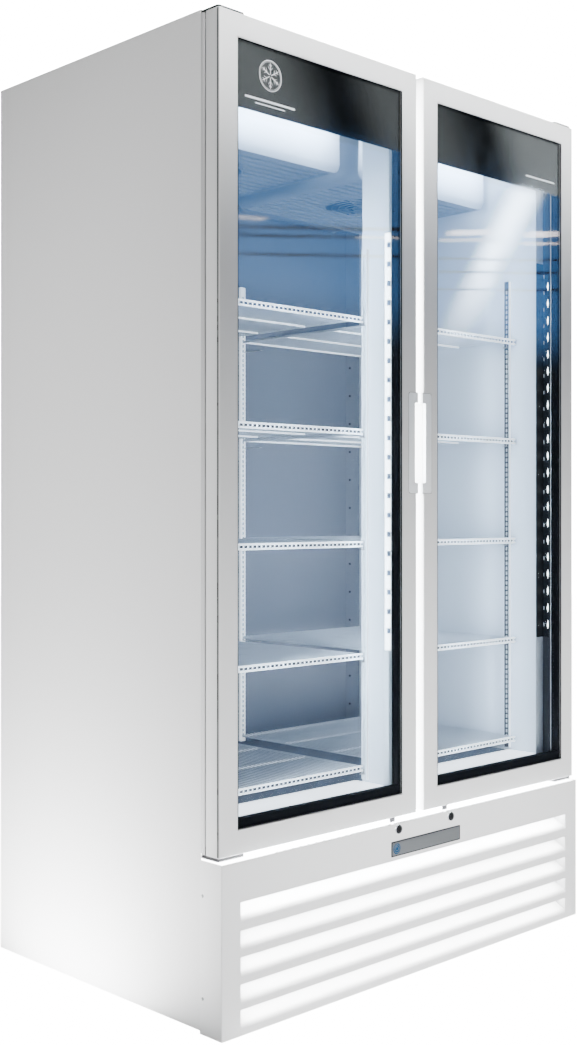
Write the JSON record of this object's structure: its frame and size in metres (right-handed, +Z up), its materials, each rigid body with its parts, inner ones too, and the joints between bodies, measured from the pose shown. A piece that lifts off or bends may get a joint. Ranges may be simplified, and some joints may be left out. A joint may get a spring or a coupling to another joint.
{
  "type": "glass door merchandiser",
  "caption": "Upright refrigerated display cabinet with two hinged glass doors, lit wire shelves and a louvred machine compartment below.",
  "frame": {"origin": "centre of the footprint on the floor", "axes": "+Z up, +X to the right seen from the front, +Y to the back; the doors face -Y"},
  "size_m": [1.194, 0.779, 1.994],
  "materials": {
    "white_paint": "semi-gloss baked enamel",
    "foam_panel": "smooth white liner bonded over rigid foam",
    "liner_white": "satin white coated sheet",
    "black_plastic": "satin moulded",
    "grey_rubber": "matte extruded",
    "shelf_coating": "gloss epoxy-coated wire",
    "zinc_steel": "zinc plated",
    "fin_aluminium": "mill finish",
    "lamp_strip": "clear cover over black holder",
    "compressor_black": "satin black enamel",
    "lock_chrome": "polished",
    "door_glass": "clear insulating glass"
  },
  "bodies": {
    "cabinet": {"left_lower_hinge": "zinc_steel", "left_upper_hinge": "zinc_steel", "outer_left_panel": "white_paint", "insulated_left_wall": "foam_panel", "left_front_pilaster": "shelf_coating", "left_rear_pilaster": "shelf_coating", "left_mullion_pilaster": "shelf_coating", "left_back_pilaster": "shelf_coating", "left_shelf_1": "shelf_coating", "left_shelf_2": "shelf_coating", "left_shelf_3": "shelf_coating", "left_shelf_4": "shelf_coating", "left_shelf_5": "shelf_coating", "left_lamp_strip": "lamp_strip", "left_fan_housing": "liner_white", "front_left_foot": "zinc_steel", "rear_left_foot": "zinc_steel", "right_lower_hinge": "zinc_steel", "right_upper_hinge": "zinc_steel", "outer_right_panel": "white_paint", "insulated_right_wall": "foam_panel", "right_front_pilaster": "shelf_coating", "right_rear_pilaster": "shelf_coating", "right_mullion_pilaster": "shelf_coating", "right_back_pilaster": "shelf_coating", "right_shelf_1": "shelf_coating", "right_shelf_2": "shelf_coating", "right_shelf_3": "shelf_coating", "right_shelf_4": "shelf_coating", "right_shelf_5": "shelf_coating", "right_lamp_strip": "lamp_strip", "right_fan_housing": "liner_white", "front_right_foot": "zinc_steel", "rear_right_foot": "zinc_steel", "outer_back_panel": "white_paint", "insulated_back_wall": "foam_panel", "insulated_floor": "foam_panel", "insulated_ceiling": "foam_panel", "front_frame": "black_plastic", "centre_mullion": "liner_white", "mullion_lamp_strip": "lamp_strip", "evaporator_coil": "fin_aluminium", "front_grille": "white_paint", "base_pan": "zinc_steel", "condenser_coil": "fin_aluminium", "compressor": "compressor_black"},
    "left_door": {"left_door_frame": "white_paint", "left_door_pull": "white_paint", "left_glass_unit": "door_glass", "left_door_gasket": "grey_rubber"},
    "right_door": {"right_door_frame": "white_paint", "right_door_pull": "white_paint", "right_glass_unit": "door_glass", "right_door_gasket": "grey_rubber"},
    "left_lock": {"left_door_lock": "lock_chrome"},
    "right_lock": {"right_door_lock": "lock_chrome"},
    "left_fan": {"left_evaporator_fan": "black_plastic"},
    "right_fan": {"right_evaporator_fan": "black_plastic"},
    "machine_fan": {"condenser_fan": "black_plastic"},
    "light_switch": {"light_switch_rocker": "black_plastic"}
  },
  "joints": [
    {"name": "left_door_hinge", "type": "hinge", "parent": "cabinet", "child": "left_door", "pos_m": [-0.579, -0.3565, 1.1695], "axis": [0, 0, -1], "range_deg": [0, 120], "stiffness_Nm_per_rad": 1, "springref_deg": -28.65},
    {"name": "right_door_hinge", "type": "hinge", "parent": "cabinet", "child": "right_door", "pos_m": [0.579, -0.3565, 1.1695], "axis": [0, 0, 1], "range_deg": [0, 120], "stiffness_Nm_per_rad": 1, "springref_deg": -28.65},
    {"name": "left_lock_turn", "type": "hinge", "parent": "cabinet", "child": "left_lock", "pos_m": [-0.085, -0.3865, 0.329], "axis": [0, 1, 0], "range_deg": [0, 90]},
    {"name": "right_lock_turn", "type": "hinge", "parent": "cabinet", "child": "right_lock", "pos_m": [0.094, -0.3865, 0.329], "axis": [0, 1, 0], "range_deg": [0, 90]},
    {"name": "left_fan_spin", "type": "hinge", "parent": "cabinet", "child": "left_fan", "pos_m": [-0.2715, 0.0515, 1.826], "axis": [0, 0, 1], "continuous": true},
    {"name": "right_fan_spin", "type": "hinge", "parent": "cabinet", "child": "right_fan", "pos_m": [0.2715, 0.0515, 1.826], "axis": [0, 0, 1], "continuous": true},
    {"name": "machine_fan_spin", "type": "hinge", "parent": "cabinet", "child": "machine_fan", "pos_m": [-0.15, -0.2265, 0.165], "axis": [0, 1, 0], "continuous": true},
    {"name": "light_switch_rock", "type": "hinge", "parent": "cabinet", "child": "light_switch", "pos_m": [0, -0.2045, 1.935], "axis": [1, 0, 0], "range_deg": [0, 16]}
  ]
}
